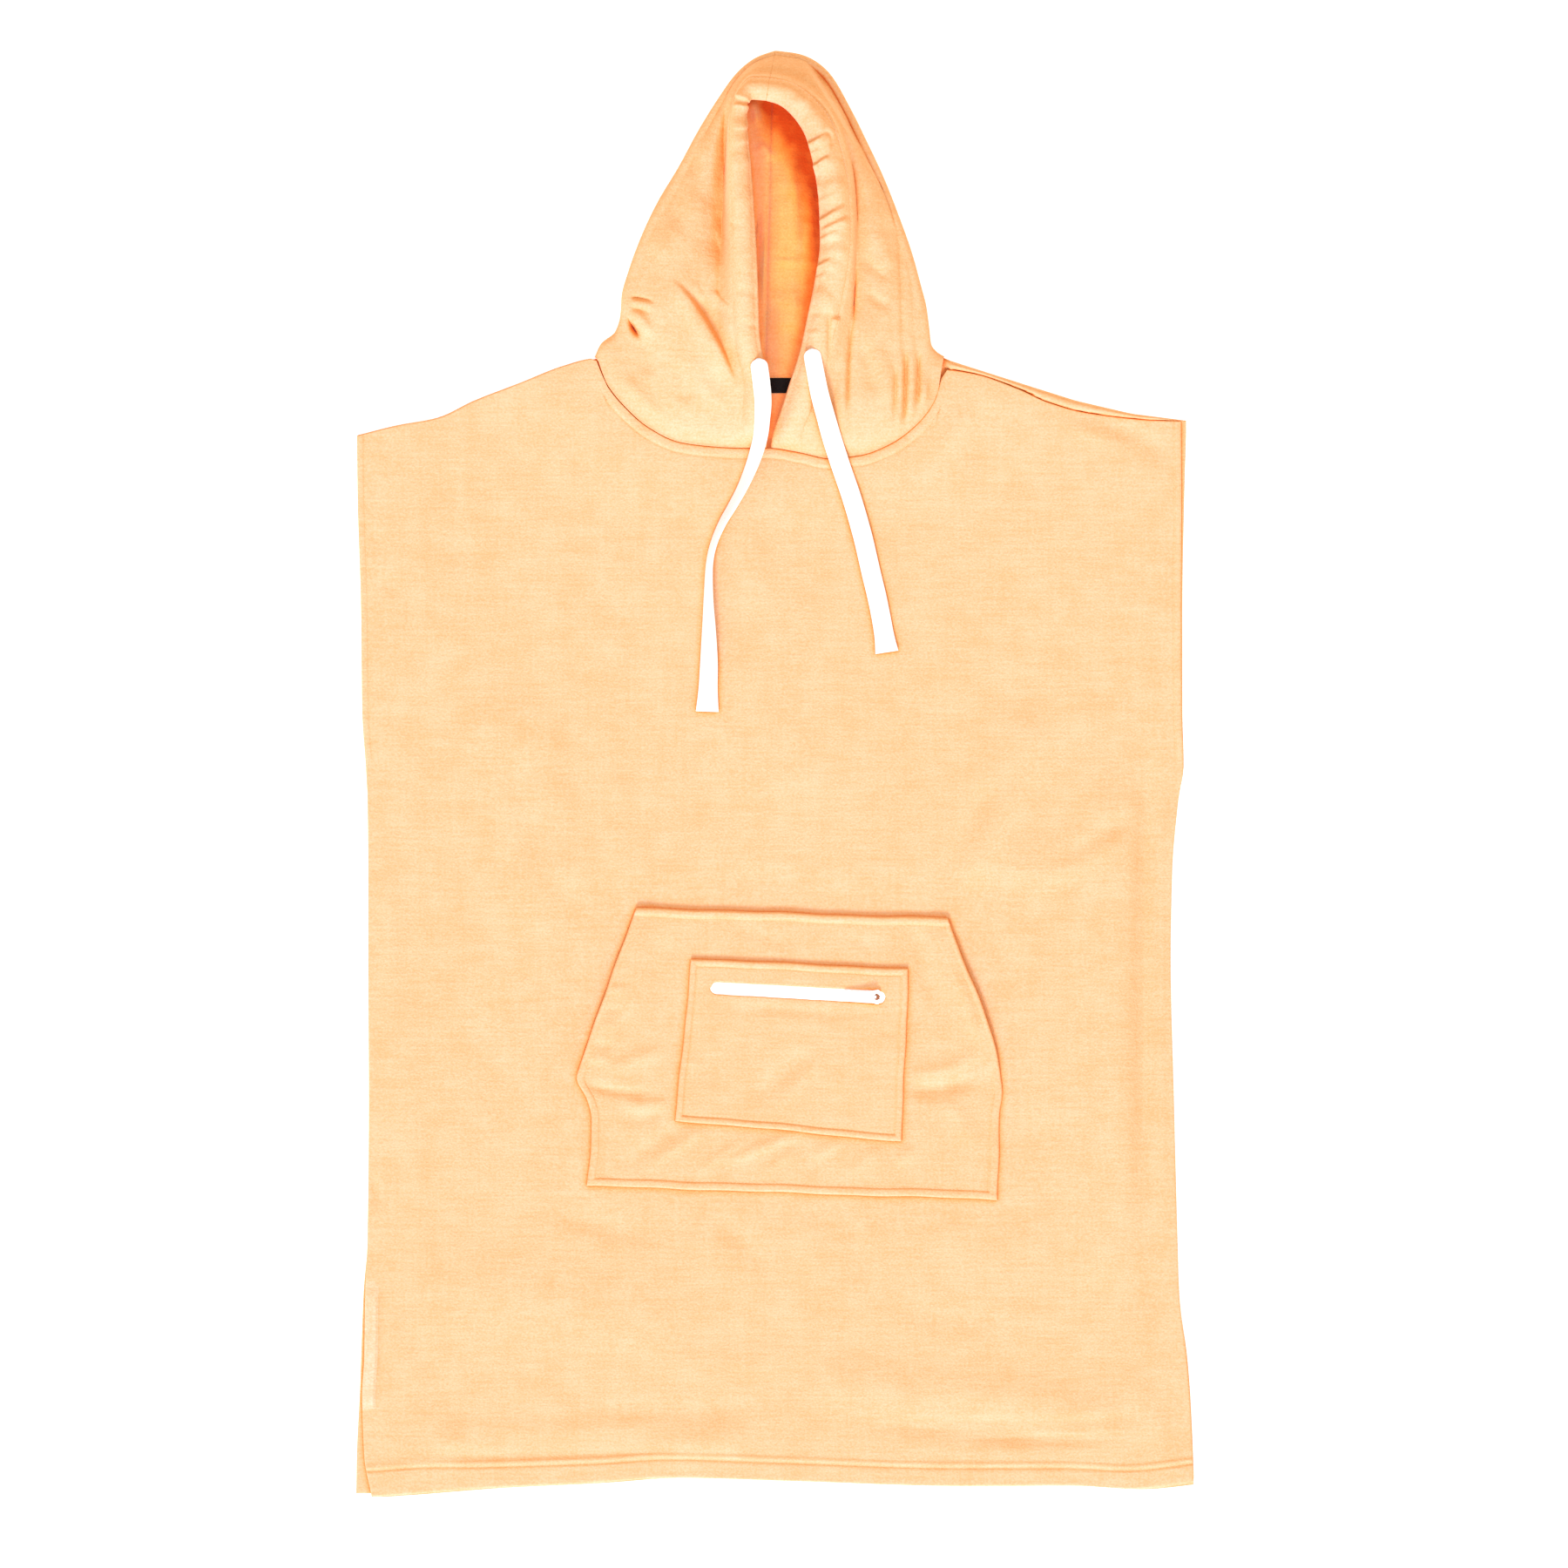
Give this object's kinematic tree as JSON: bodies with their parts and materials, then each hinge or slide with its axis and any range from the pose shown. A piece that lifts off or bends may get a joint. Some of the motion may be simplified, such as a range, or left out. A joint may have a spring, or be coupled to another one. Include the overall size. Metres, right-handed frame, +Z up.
{
  "type": "hooded bath poncho",
  "caption": "Sleeveless terry poncho laid flat face up, with a hood and drawcord, a kangaroo pocket and a zipped patch pocket.",
  "frame": {"origin": "on the surface that the poncho lies on, under the middle of its whole outline", "axes": "+X to the right seen from above, +Y from the hem towards the hood, +Z up from the back panel to the front panel"},
  "size_m": [0.7692, 1.3278, 0.0565],
  "materials": {
    "terry": "peach cotton terry with short loops",
    "cord_cotton": "white flat braided cotton",
    "zip_tape_cloth": "white woven tape with a nylon chain",
    "zip_enamel": "white enamelled metal, a little rust at the bridge",
    "label_satin": "black woven satin, bare"
  },
  "bodies": {
    "garment": {"body_back": "terry", "body_front": "terry", "hood_left": "terry", "hood_right": "terry", "kangaroo_pocket": "terry", "patch_pocket": "terry", "neck_label": "label_satin", "drawcord_left": "cord_cotton", "drawcord_right": "cord_cotton", "zip_tape": "zip_tape_cloth", "zip_slider": "zip_enamel"},
    "pull": {"zip_pull": "zip_enamel"}
  },
  "joints": [
    {"name": "pull_hinge", "type": "hinge", "parent": "garment", "child": "pull", "pos_m": [0.0887, -0.20424, 0.0153], "axis": [0.0535, 0.9986, 0], "range_deg": [0, 170]}
  ]
}
